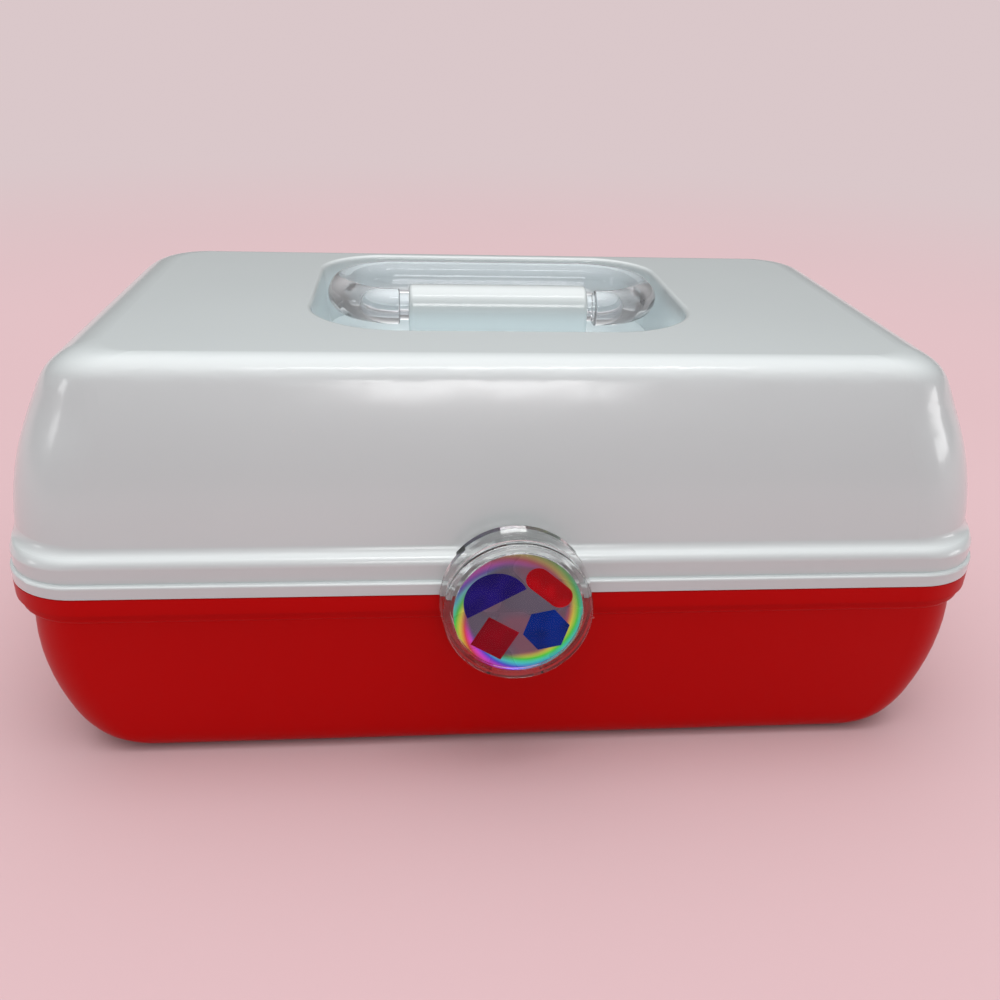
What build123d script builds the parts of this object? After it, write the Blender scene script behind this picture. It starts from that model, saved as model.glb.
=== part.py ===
import os
from math import asin, atan2, cos, degrees, hypot, radians, sin, sqrt, tan

from build123d import *

os.makedirs("parts", exist_ok=True)

# A moulded storage case with a lift-up lid, a clear carrying handle and a clear round latch.
# X runs along the case, Y from front to back, Z up from the underside. Sizes are in mm.

# Case
rim_width = 330.0
rim_depth = 199.0
rim_radius = 26.0
seam_height = 67.0
case_height = 139.1
wall = 2.2
seam_gap = 0.3
overlap = 1.0

# Lid: two rim bands, then bowed walls that run into round shoulders under a flat top
lid_low_band = 4.4
lid_high_band = 8.4
lid_high_band_side_step = 0.7
lid_high_band_front_step = 1.8
lid_band_round = 0.8
lid_bead_round = 3.4
lid_cove = 3.0
lid_side_set_in = 0.9
lid_widest_height = 79.0
lid_end_bow = 100.0
lid_end_shoulder = 23.3
lid_front_set_in = 4.0
lid_deepest_height = 53.0
lid_front_bow = 215.0
lid_front_shoulder = 10.4
lid_corner = 28.0
lid_corner_top = 13.0

# Base: two rim bands, then bowed end walls and leaning front and rear walls above a flat floor
base_low_band = 4.0
base_high_band = 5.8
base_band_step = 1.2
base_band_round = 1.4
base_side_set_in = 6.3
base_widest_height = 44.0
base_end_bow = 74.4
base_end_shoulder = 25.3
base_front_set_in = 1.6
base_front_lean = 4.4
base_front_shoulder = 8.8
base_corner = 17.0
lip_height = 3.0
lip_thickness = 1.6
lip_clearance = 0.4
lip_root = 5.0
foot_groove_inset = 12.0
foot_groove_width = 3.0
foot_groove_depth = 0.8

# Handle recess in the lid's top, and the barrel that carries the handle
recess_width = 139.0
recess_front = 45.7
recess_rear = 67.0
recess_depth = 24.0
recess_front_radius = 33.0
recess_rear_radius = 25.0
recess_taper = 4.0
recess_lip_round = 1.6
barrel_radius = 8.5
barrel_drop = 4.5
barrel_length = 68.0
barrel_end_round = 1.6
barrel_skin = 2.6
barrel_end_skin = 15.0
barrel_crown_skin = 2.3
pivot_clearance = 0.08

# Handle
handle_thickness = 13.5
handle_width = 132.4
handle_reach = 46.9
handle_corner = 21.0
handle_end_gap = 3.4
handle_end_round = 0.8
spigot_radius = 5.0
spigot_length = 10.0

# Latch, on the seam at the front, leaning back with its face
latch_centre_height = 66.2
latch_lean = 5.0
latch_back_gap = 0.9
latch_depth = 11.4
latch_back_radius = 24.6
latch_waist_radius = 23.1
latch_front_radius = 23.8
latch_skirt = 2.0
latch_skirt_foot = 15.4
latch_back_ring = 3.2
latch_front_ring = 3.6
latch_skin = 2.4
latch_plate = 1.5
latch_lens_thickness = 1.3
latch_insert_thickness = 0.6
latch_insert_radius = 20.4
latch_face_inset = 0.2
latch_edge_round = 0.7
latch_insert_clearance = 0.24
latch_relief_height = 12.1
latch_pin_radius = 1.0
latch_lug_radius = 2.3
latch_pin_drop = 16.0
latch_pin_depth = 5.2
latch_knuckle_length = 8.0
latch_lug_length = 3.0
latch_relief_depth = 3.8
catch_width = 13.0
catch_low = 7.2
catch_thickness = 3.4
catch_reach = 4.6
hook_width = 12.0
hook_thickness = 2.5
hook_clearance = 0.6
hook_back_gap = 0.8

# Hinge at the rear
hinge_offset = 5.2
hinge_spacing = 176.0
hinge_knuckle_radius = 3.3
hinge_lid_knuckle = 11.2
hinge_base_knuckle = 10.0
hinge_pin_radius = 1.5
hinge_pin_end = 1.0
side_gap = 0.4

# Tray and the linkage that lifts it level with the lid
tray_end_gap = 19.0
tray_front_gap = 11.5
tray_rear = 30.0
tray_floor_height = 33.0
tray_top_height = 66.0
tray_wall = 1.8
tray_divider = 1.6
tray_corner = 10.0
tray_pocket_corner = 3.0
tray_foot_round = 4.0
tray_front_row = 35.6
tray_left_column = 91.4
lipstick_cells = 5
lipstick_rows = 2
rear_right_bays = 2
link_back = 47.0
link_rise = 9.0
tray_stud_y = -50.0
tray_stud_height = 52.0
stud_radius = 2.0
stud_head_radius = 3.5
stud_head_thickness = 1.3
lid_stud_grip = 5.0
arm_thickness = 3.0
arm_radius = 5.0
arm_tray_gap = 3.0
boss_radius = 4.6
boss_gap = 0.4
ear_thickness = 3.0
ear_root = 12.0

# Mirror
mirror_width = 224.0
mirror_depth = 120.0
mirror_thickness = 2.0
mirror_border = 8.0
mirror_corner = 8.0
mirror_frame_thickness = 4.0
mirror_gap = 3.4
mirror_clearance = 0.2
mirror_peg_radius = 2.0
mirror_post_radius = 4.0
mirror_peg_inset = 7.0
mirror_peg_head_radius = 3.4
mirror_peg_head_thickness = 1.1


def bowed_half(height, widest, widest_height, bow, shoulder, top):
    """Half width at a height, on a bowed side that runs into a round shoulder under a flat top."""
    turn = asin((top - shoulder - widest_height) / (bow - shoulder))
    if height <= widest_height + bow * sin(turn):
        return widest - bow + sqrt(bow**2 - (height - widest_height) ** 2)
    shoulder_centre = widest - bow + (bow - shoulder) * cos(turn)
    return shoulder_centre + sqrt(shoulder**2 - (height - top + shoulder) ** 2)


def leaning_half(drop, start, lean, shoulder, depth):
    """Half width at a drop below the start of a leaning side that ends in a round foot."""
    tilt = radians(lean)
    foot_centre = start - tan(tilt) * (depth - shoulder) - shoulder / cos(tilt)
    if drop <= depth - shoulder + shoulder * sin(tilt):
        return start - tan(tilt) * drop
    return foot_centre + sqrt(shoulder**2 - (drop - depth + shoulder) ** 2)


def curve_levels(start, end, shoulder, straight_steps=6, round_steps=9):
    """Heights from start to end, close together where the round shoulder turns in."""
    sign = 1 if end > start else -1
    straight = abs(end - start) - shoulder
    levels = [start + sign * straight * step / straight_steps for step in range(straight_steps)]
    for step in range(round_steps + 1):
        levels.append(end - sign * shoulder * (1 - sin(radians(90 * step / round_steps))))
    return levels


def lofted_body(levels, outline, straight=False):
    """Body through one rounded rectangle at each level, in smooth curves or in straight steps."""
    sections = []
    for level in levels:
        half_width, half_depth, radius = outline(level)
        with BuildSketch(Plane.XY.offset(level)) as section:
            RectangleRounded(2 * half_width, 2 * half_depth, radius)
        sections.append(section.sketch)
    with BuildPart() as body:
        loft(sections, ruled=straight)
    return body.part


def rim_sketch(height, side_inset, front_inset):
    """Rim outline at a height, drawn in from the case's rim."""
    with BuildSketch(Plane.XY.offset(height)) as outline:
        RectangleRounded(
            rim_width - 2 * side_inset,
            rim_depth - 2 * front_inset,
            rim_radius - (side_inset + front_inset) / 2,
        )
    return outline.sketch


# Places that several pieces share
lid_bottom = seam_height + seam_gap / 2
base_top = seam_height - seam_gap / 2
lid_wall_foot = lid_bottom + lid_low_band + lid_high_band
lid_bead_height = lid_wall_foot - lid_bead_round
lid_cove_top = lid_bead_height + lid_bead_round + lid_cove
base_wall_top = base_top - base_high_band - base_low_band
hinge_y = rim_depth / 2 + hinge_offset
barrel_height = case_height - barrel_drop
press_gap = pivot_clearance / 4
recess_floor = case_height - recess_depth
handle_radius = handle_thickness / 2
handle_half = handle_width / 2 - handle_radius
leg_end = barrel_length / 2 + handle_end_gap
latch_back = rim_depth / 2 + latch_back_gap
mirror_underside = recess_floor - wall - mirror_gap - mirror_frame_thickness
tray_half = rim_width / 2 - tray_end_gap
tray_front = rim_depth / 2 - tray_front_gap
arm_inner = tray_half + arm_tray_gap
arm_outer = arm_inner + arm_thickness
link_length = hypot(link_back, link_rise)
lid_stud_y = hinge_y - link_back
lid_stud_height = seam_height + link_rise
base_stud_y = tray_stud_y + link_back
base_stud_height = tray_stud_height - link_rise


def lid_outline(height, inset=0.0):
    """Lid wall at a height: half width, half depth and corner radius."""
    top = case_height - inset
    half_width = bowed_half(
        height, rim_width / 2 - lid_side_set_in - inset, lid_widest_height, lid_end_bow - inset,
        lid_end_shoulder - inset, top,
    )
    half_depth = bowed_half(
        height, rim_depth / 2 - lid_front_set_in - inset, lid_deepest_height, lid_front_bow - inset,
        lid_front_shoulder - inset, top,
    )
    share = max(0.0, (height - top + lid_end_shoulder) / lid_end_shoulder)
    radius = lid_corner - inset - (lid_corner - lid_corner_top) * share**2
    return half_width, half_depth, radius


def bead_half(height, wall_half, rim_half):
    """Half width above the bead's face: its round top, then a cove that runs up into the wall."""
    bead_centre = rim_half - lid_bead_round
    reach = lid_bead_round + lid_cove
    above = height - lid_bead_height
    rise = sqrt(reach**2 - (wall_half + lid_cove - bead_centre) ** 2)
    if above >= rise:
        return wall_half
    if above >= rise * lid_bead_round / reach:
        return wall_half + lid_cove - sqrt(lid_cove**2 - (rise - above) ** 2)
    return bead_centre + sqrt(lid_bead_round**2 - above**2)


def bead_outline(height):
    """Outside of the lid's bead at a height, from its face up to the foot of the wall."""
    half_width, half_depth, radius = lid_outline(height)
    half_width = bead_half(height, half_width, rim_width / 2 - lid_high_band_side_step)
    half_depth = bead_half(height, half_depth, rim_depth / 2 - lid_high_band_front_step)
    bead_corner = rim_radius - (lid_high_band_side_step + lid_high_band_front_step) / 2
    share = (height - lid_bead_height) / (lid_cove_top - lid_bead_height)
    return half_width, half_depth, bead_corner + (radius - bead_corner) * share


def base_outline(height, inset=0.0):
    """Base wall at a height: half width, half depth and corner radius."""
    half_width = bowed_half(
        -height, rim_width / 2 - base_side_set_in - inset, -base_widest_height, base_end_bow - inset,
        base_end_shoulder - inset, -inset,
    )
    half_depth = leaning_half(
        base_wall_top - height, rim_depth / 2 - base_front_set_in - inset, base_front_lean,
        base_front_shoulder - inset, base_wall_top - inset,
    )
    return half_width, half_depth, base_corner - inset


def recess_sketch(height, growth):
    """Handle recess outline at a height, grown outwards all round."""
    half = recess_width / 2 + growth
    with BuildSketch(Plane.XY.offset(height)) as outline:
        with BuildLine():
            Polyline(
                (-half, -recess_front - growth),
                (half, -recess_front - growth),
                (half, recess_rear + growth),
                (-half, recess_rear + growth),
                close=True,
            )
        make_face()
        fillet(outline.vertices().group_by(Axis.Y)[0], recess_front_radius + growth)
        fillet(outline.vertices().group_by(Axis.Y)[-1], recess_rear_radius + growth)
    return outline.sketch


def latch_plane(depth):
    """Plane across the latch at a depth in front of its back."""
    lean = radians(latch_lean)
    back = Plane(
        origin=(0, -latch_back, latch_centre_height),
        x_dir=(1, 0, 0),
        z_dir=(0, -cos(lean), sin(lean)),
    )
    return back.offset(depth)


def latch_point(rise, depth):
    """Y and Z of a point in the latch, by its rise above the centre and its depth."""
    point = latch_plane(depth).from_local_coords((0, rise, 0))
    return point.Y, point.Z


latch_pin_y, latch_pin_height = latch_point(-latch_pin_drop, latch_pin_depth)


# Base tub: one red moulding with rim bands, locating lip, hinge knuckles, latch lugs and arm bosses
base_skin = lofted_body(
    curve_levels(base_wall_top + overlap, 0.0, base_end_shoulder),
    base_outline,
)
base_hollow = lofted_body(
    curve_levels(base_top + overlap, wall, base_end_shoulder - wall),
    lambda height: base_outline(min(height, base_wall_top), wall),
)

with BuildPart() as base_tub:
    extrude(rim_sketch(base_top, 0, 0), amount=-base_high_band)
    low_band = rim_sketch(base_top - base_high_band, base_band_step, base_band_step)
    extrude(low_band, amount=-base_low_band)
    fillet(base_tub.faces().sort_by(Axis.Z)[0].edges(), base_band_round)
    add(base_skin)
    add(base_hollow, mode=Mode.SUBTRACT)
    rim_hollow = rim_sketch(base_top, wall, wall)
    extrude(rim_hollow, amount=-(base_high_band + base_low_band - wall), mode=Mode.SUBTRACT)
    # locating lip, rooted on the inside of the rim
    extrude(rim_sketch(base_top, wall, wall), amount=-lip_root)
    extrude(rim_sketch(base_top - lip_root, wall + lip_clearance, wall + lip_clearance),
            amount=lip_root + lip_height)
    lip_inner = wall + lip_clearance + lip_thickness
    extrude(rim_sketch(base_top + lip_height, lip_inner, lip_inner),
            amount=-(lip_height + lip_root), mode=Mode.SUBTRACT)
    # shallow groove that leaves a foot ring round the underside
    foot_width, foot_depth, foot_corner = base_outline(0.0)
    with BuildSketch(Plane.XY) as foot_groove:
        inner = foot_groove_inset + foot_groove_width
        RectangleRounded(2 * (foot_width - foot_groove_inset), 2 * (foot_depth - foot_groove_inset),
                         foot_corner)
        RectangleRounded(2 * (foot_width - inner), 2 * (foot_depth - inner),
                         foot_corner - foot_groove_width, mode=Mode.SUBTRACT)
    extrude(amount=foot_groove_depth, mode=Mode.SUBTRACT)
    # hinge knuckles, in pairs either side of each lid knuckle
    for centre in (-hinge_spacing / 2, hinge_spacing / 2):
        for side in (-1, 1):
            start = centre + side * (hinge_lid_knuckle / 2 + side_gap)
            with BuildSketch(Plane.YZ.offset(start)) as knuckle:
                with Locations((hinge_y, seam_height)):
                    Circle(hinge_knuckle_radius)
                with Locations(((hinge_y + rim_depth / 2 - wall / 2) / 2, base_top)):
                    Rectangle(hinge_y - rim_depth / 2 + wall / 2, hinge_knuckle_radius,
                              align=(Align.CENTER, Align.MAX))
                with Locations((hinge_y, seam_height)):
                    Circle(hinge_pin_radius + press_gap, mode=Mode.SUBTRACT)
            extrude(amount=side * hinge_base_knuckle)
    # lugs for the latch pin
    lug_root = base_outline(latch_pin_height)[1] - wall / 2
    for side in (-1, 1):
        start = side * (latch_knuckle_length / 2 + side_gap)
        with BuildSketch(Plane.YZ.offset(start)) as lug:
            with Locations((latch_pin_y, latch_pin_height)):
                Circle(latch_lug_radius)
                Rectangle(-latch_pin_y - lug_root, 2 * latch_lug_radius,
                          align=(Align.MIN, Align.CENTER))
                Circle(latch_pin_radius + press_gap, mode=Mode.SUBTRACT)
        extrude(amount=side * latch_lug_length)
    # bosses for the arm studs on the inside of the end walls
    boss_face = arm_outer + boss_gap
    boss_end = base_outline(base_stud_height)[0] - wall / 2
    for side in (-1, 1):
        with BuildSketch(Plane.YZ.offset(side * boss_face)) as boss:
            with Locations((base_stud_y, base_stud_height)):
                Circle(boss_radius)
        extrude(amount=side * (boss_end - boss_face))
        with BuildSketch(Plane.YZ.offset(side * boss_face)) as boss_hole:
            with Locations((base_stud_y, base_stud_height)):
                Circle(stud_radius + press_gap)
        extrude(amount=side * (boss_end - boss_face), mode=Mode.SUBTRACT)

base_tub.part.label = "base_tub"
export_step(base_tub.part, "parts/base_tub.step")


# Lid shell: one pale moulding with rim bands, handle recess and barrel, catch, knuckles and posts
bead_steps = 20
bead_levels = []
for step in range(bead_steps + 1):
    bead_levels.append(lid_bead_height + (lid_cove_top - lid_bead_height) * step / bead_steps)
lid_bead = lofted_body(bead_levels, bead_outline, straight=True)
lid_skin = lofted_body(
    curve_levels(lid_cove_top, case_height, lid_end_shoulder),
    lid_outline,
)
lid_hollow = lofted_body(
    curve_levels(lid_bottom - overlap, case_height - wall, lid_end_shoulder - wall),
    lambda height: lid_outline(height, wall),
)

# The recess itself: tapered walls under a rounded lip
lip_steps = 5
lip_sections = []
for step in range(lip_steps + 1):
    turn = radians(90 * step / lip_steps)
    lip_sections.append(recess_sketch(
        case_height - recess_lip_round * (1 - sin(turn)),
        recess_lip_round * (1 - cos(turn)),
    ))

with BuildPart() as recess:
    loft(lip_sections)
    extrude(recess_sketch(case_height, recess_lip_round), amount=recess_lip_round)
    extrude(lip_sections[0], amount=-(recess_depth - recess_lip_round), taper=recess_taper)
recess_hollow = recess.part

with BuildPart() as lid_shell:
    extrude(rim_sketch(lid_bottom, 0, 0), amount=lid_low_band)
    fillet(lid_shell.faces().sort_by(Axis.Z)[-1].edges(), lid_band_round)
    high_band = rim_sketch(lid_bottom, lid_high_band_side_step, lid_high_band_front_step)
    extrude(high_band, amount=lid_bead_height - lid_bottom)
    add(lid_bead)
    add(lid_skin)
    add(lid_hollow, mode=Mode.SUBTRACT)
    extrude(rim_sketch(lid_bottom, wall, wall), amount=lid_low_band, mode=Mode.SUBTRACT)
    # handle recess: a tapered pan hung from the flat top
    pan_height = recess_depth + wall - wall / 2
    extrude(recess_sketch(case_height - wall / 2, wall), amount=-pan_height, taper=recess_taper)
    add(recess_hollow, mode=Mode.SUBTRACT)
    # barrel that carries the handle, standing in the recess and hollow from below
    with BuildSketch(Plane.YZ.offset(-barrel_length / 2)) as barrel:
        with Locations((0, barrel_height)):
            Circle(barrel_radius)
        with Locations((0, recess_floor - wall / 2)):
            Rectangle(2 * barrel_radius, barrel_height - recess_floor + wall / 2,
                      align=(Align.CENTER, Align.MIN))
    extrude(amount=barrel_length)
    barrel_ends = lid_shell.faces().filter_by(Axis.X).filter_by(
        lambda face: abs(abs(face.center().X) - barrel_length / 2) < 0.01
    )
    arch = barrel_ends.edges().filter_by(lambda edge: edge.center().Z > recess_floor + barrel_end_round)
    fillet(arch, barrel_end_round)
    core_half = barrel_radius - barrel_skin
    core_rise = sqrt((barrel_radius - barrel_crown_skin) ** 2 - core_half**2)
    with BuildSketch(Plane.XY.offset(recess_floor - wall)) as barrel_core:
        Rectangle(barrel_length - 2 * barrel_end_skin, 2 * core_half)
    extrude(amount=barrel_height + core_rise - recess_floor + wall, mode=Mode.SUBTRACT)
    for side in (-1, 1):
        with BuildSketch(Plane.YZ.offset(side * barrel_length / 2)) as socket:
            with Locations((0, barrel_height)):
                Circle(spigot_radius + pivot_clearance)
        extrude(amount=-side * (spigot_length + side_gap), mode=Mode.SUBTRACT)
    # catch that the latch hooks over
    catch_root = rim_depth / 2 - lid_high_band_front_step - wall / 2
    with BuildSketch(Plane.XZ.offset(catch_root)) as catch:
        with Locations((0, lid_bottom + catch_low)):
            Rectangle(catch_width, catch_thickness, align=(Align.CENTER, Align.MIN))
    extrude(amount=rim_depth / 2 + catch_reach - catch_root)
    # hinge knuckles
    for centre in (-hinge_spacing / 2, hinge_spacing / 2):
        with BuildSketch(Plane.YZ.offset(centre - hinge_lid_knuckle / 2)) as lid_knuckle:
            with Locations((hinge_y, seam_height)):
                Circle(hinge_knuckle_radius)
            with Locations(((hinge_y + rim_depth / 2 - wall / 2) / 2, lid_bottom)):
                Rectangle(hinge_y - rim_depth / 2 + wall / 2, hinge_knuckle_radius,
                          align=(Align.CENTER, Align.MIN))
            with Locations((hinge_y, seam_height)):
                Circle(hinge_pin_radius + pivot_clearance, mode=Mode.SUBTRACT)
        extrude(amount=hinge_lid_knuckle)
    # bosses for the studs that carry the back of the tray
    lid_boss_face = tray_half + boss_gap
    lid_boss_end = lid_outline(lid_stud_height)[0] - wall / 2
    for side in (-1, 1):
        with BuildSketch(Plane.YZ.offset(side * lid_boss_face)) as lid_boss:
            with Locations((lid_stud_y, lid_stud_height)):
                Circle(boss_radius)
        extrude(amount=side * (lid_boss_end - lid_boss_face))
        with BuildSketch(Plane.YZ.offset(side * lid_boss_face)) as lid_boss_hole:
            with Locations((lid_stud_y, lid_stud_height)):
                Circle(stud_radius + press_gap)
        extrude(amount=side * (lid_stud_grip + press_gap), mode=Mode.SUBTRACT)
    # posts, pegs and staked heads that hold the mirror frame
    frame_top = mirror_underside + mirror_frame_thickness
    peg_x = mirror_width / 2 + mirror_border - mirror_peg_inset
    peg_y = mirror_depth / 2 + mirror_border - mirror_peg_inset
    post_stack = (
        (frame_top, case_height - wall / 2, mirror_post_radius),
        (mirror_underside - mirror_peg_head_thickness, frame_top, mirror_peg_radius),
        (mirror_underside - mirror_peg_head_thickness, mirror_underside, mirror_peg_head_radius),
    )
    for low, high, radius in post_stack:
        with BuildSketch(Plane.XY.offset(low)) as post:
            with GridLocations(2 * peg_x, 2 * peg_y, 2, 2):
                Circle(radius)
        extrude(amount=high - low)

lid_shell.part.label = "lid_shell"
export_step(lid_shell.part, "parts/lid_shell.step")


# Hinge pins: steel rods through the knuckles
hinge_pin_length = hinge_lid_knuckle + 2 * (hinge_base_knuckle + side_gap + hinge_pin_end)
for name, centre in (("hinge_pin_left", -hinge_spacing / 2), ("hinge_pin_right", hinge_spacing / 2)):
    with BuildPart() as hinge_pin:
        with BuildSketch(Plane.YZ.offset(centre - hinge_pin_length / 2)) as pin_section:
            with Locations((hinge_y, seam_height)):
                Circle(hinge_pin_radius)
        extrude(amount=hinge_pin_length)
        chamfer(hinge_pin.edges().filter_by(GeomType.CIRCLE), hinge_pin_radius / 4)
    hinge_pin.part.label = name
    export_step(hinge_pin.part, f"parts/{name}.step")


# Handle: a clear bail whose ends turn in the barrel's sockets
with BuildPart() as handle_bail:
    with BuildLine(Plane.XY.offset(barrel_height)) as bail_path:
        FilletPolyline(
            (leg_end, 0),
            (handle_half, 0),
            (handle_half, handle_reach),
            (-handle_half, handle_reach),
            (-handle_half, 0),
            (-leg_end, 0),
            radius=handle_corner,
        )
    with BuildSketch(Plane(origin=(leg_end, 0, barrel_height), z_dir=(1, 0, 0))) as bail_section:
        Circle(handle_radius)
    sweep()
    leg_rims = handle_bail.edges().filter_by(GeomType.CIRCLE).filter_by(
        lambda edge: abs(abs(edge.center().X) - leg_end) < 0.01
    )
    fillet(leg_rims, handle_end_round)
    for side in (-1, 1):
        with BuildSketch(Plane.YZ.offset(side * (barrel_length / 2 - spigot_length))) as spigot:
            with Locations((0, barrel_height)):
                Circle(spigot_radius)
        extrude(amount=side * (spigot_length + handle_end_gap + handle_end_round))

handle_bail.part.label = "handle_bail"
export_step(handle_bail.part, "parts/handle_bail.step")


# Latch body: a clear stepped cup with a hook and a knuckle behind its face
latch_layers = (
    (0, latch_back_ring, latch_back_radius),
    (latch_back_ring, latch_depth - latch_back_ring - latch_front_ring, latch_waist_radius),
    (latch_depth - latch_front_ring, latch_front_ring, latch_front_radius),
)
latch_bore = latch_front_radius - latch_skin
pocket_depth = latch_insert_thickness + latch_lens_thickness + latch_face_inset
plate_back = latch_depth - pocket_depth - latch_plate
catch_top = lid_bottom + catch_low + catch_thickness
hook_rise = (catch_top - latch_centre_height) / cos(radians(latch_lean)) + hook_clearance

with BuildPart() as latch_body:
    for start, thickness, radius in latch_layers:
        with BuildSketch(latch_plane(start)) as ring:
            Circle(radius)
        extrude(amount=thickness)
    outer_rims = latch_body.edges().filter_by(GeomType.CIRCLE).sort_by(Axis.Y)
    fillet(outer_rims[0], latch_edge_round)
    # skirt over the top of the lid's bead
    with BuildSketch(latch_plane(0)) as skirt:
        Circle(latch_back_radius)
        with Locations((0, latch_skirt_foot)):
            Rectangle(2 * latch_back_radius, 2 * latch_back_radius,
                      align=(Align.CENTER, Align.MAX), mode=Mode.SUBTRACT)
    extrude(amount=-latch_skirt)
    with BuildSketch(latch_plane(-latch_skirt)) as cup_hollow:
        Circle(latch_bore)
    extrude(amount=plate_back + latch_skirt, mode=Mode.SUBTRACT)
    with BuildSketch(latch_plane(latch_depth - pocket_depth)) as face_pocket:
        Circle(latch_insert_radius + latch_insert_clearance)
    extrude(amount=pocket_depth, mode=Mode.SUBTRACT)
    # the lower back edge is cut away so that it swings clear of the base wall
    with BuildSketch(latch_plane(0)) as relief:
        with Locations((0, -latch_back_radius)):
            Rectangle(2 * latch_back_radius, latch_relief_height)
    extrude(amount=latch_relief_depth, mode=Mode.SUBTRACT)
    # notch in the lower wall that passes over the base lugs as the latch swings
    notch_half = latch_knuckle_length / 2 + latch_lug_length + 2 * side_gap
    with BuildSketch(latch_plane(0)) as lug_notch:
        with Locations((0, -latch_pin_drop)):
            Rectangle(2 * notch_half, latch_back_radius, align=(Align.CENTER, Align.MAX))
    extrude(amount=plate_back, mode=Mode.SUBTRACT)
    with BuildSketch(latch_plane(hook_back_gap)) as hook:
        with Locations((0, hook_rise)):
            Rectangle(hook_width, hook_thickness, align=(Align.CENTER, Align.MIN))
    extrude(amount=plate_back - hook_back_gap)
    with BuildSketch(Plane.YZ.offset(-latch_knuckle_length / 2)) as latch_knuckle:
        with Locations((latch_pin_y, latch_pin_height)):
            Circle(latch_lug_radius)
            Rectangle(plate_back - latch_pin_depth + latch_plate / 2, 2 * latch_lug_radius,
                      align=(Align.MAX, Align.CENTER))
    extrude(amount=latch_knuckle_length)
    with BuildSketch(Plane.YZ.offset(-latch_knuckle_length / 2)) as latch_pin_hole:
        with Locations((latch_pin_y, latch_pin_height)):
            Circle(latch_pin_radius + pivot_clearance)
    extrude(amount=latch_knuckle_length, mode=Mode.SUBTRACT)

latch_body.part.label = "latch_body"
export_step(latch_body.part, "parts/latch_body.step")


# Latch insert and lens, stacked in the pocket of the latch face
with BuildPart() as latch_insert:
    with BuildSketch(latch_plane(latch_depth - pocket_depth)) as insert_disc:
        Circle(latch_insert_radius)
    extrude(amount=latch_insert_thickness)

latch_insert.part.label = "latch_insert"
export_step(latch_insert.part, "parts/latch_insert.step")

with BuildPart() as latch_lens:
    with BuildSketch(latch_plane(latch_depth - latch_face_inset - latch_lens_thickness)) as lens_disc:
        Circle(latch_insert_radius + pivot_clearance)
    extrude(amount=latch_lens_thickness)
    fillet(latch_lens.edges().filter_by(GeomType.CIRCLE).sort_by(Axis.Y)[0], latch_lens_thickness / 3)

latch_lens.part.label = "latch_lens"
export_step(latch_lens.part, "parts/latch_lens.step")


# Latch pin, through the two base lugs and the latch knuckle
latch_pin_length = latch_knuckle_length + 2 * (latch_lug_length + side_gap)
with BuildPart() as latch_pin:
    with BuildSketch(Plane.YZ.offset(-latch_pin_length / 2)) as latch_pin_section:
        with Locations((latch_pin_y, latch_pin_height)):
            Circle(latch_pin_radius)
    extrude(amount=latch_pin_length)

latch_pin.part.label = "latch_pin"
export_step(latch_pin.part, "parts/latch_pin.step")


# Tray: one moulding with lipstick cells, a brush trough and three rear compartments
tray_depth = tray_front + tray_rear
tray_middle = (tray_rear - tray_front) / 2
pocket_height = tray_top_height - tray_floor_height - tray_wall
cell_width = (tray_left_column - (lipstick_cells - 1) * tray_divider) / lipstick_cells
cell_depth = (tray_front_row - (lipstick_rows - 1) * tray_divider) / lipstick_rows
inner_left = -tray_half + tray_wall
inner_front = -tray_front + tray_wall
right_start = inner_left + tray_left_column + tray_divider
right_width = tray_half - tray_wall - right_start
rear_start = inner_front + tray_front_row + tray_divider
rear_depth = tray_rear - tray_wall - rear_start
rear_width = (right_width - (rear_right_bays - 1) * tray_divider) / rear_right_bays

tray_pockets = []
for column in range(lipstick_cells):
    for row in range(lipstick_rows):
        cell_x = inner_left + column * (cell_width + tray_divider)
        cell_y = inner_front + row * (cell_depth + tray_divider)
        tray_pockets.append((cell_x, cell_y, cell_width, cell_depth))
tray_pockets.append((right_start, inner_front, right_width, tray_front_row))
tray_pockets.append((inner_left, rear_start, tray_left_column, rear_depth))
for column in range(rear_right_bays):
    bay_x = right_start + column * (rear_width + tray_divider)
    tray_pockets.append((bay_x, rear_start, rear_width, rear_depth))

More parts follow.
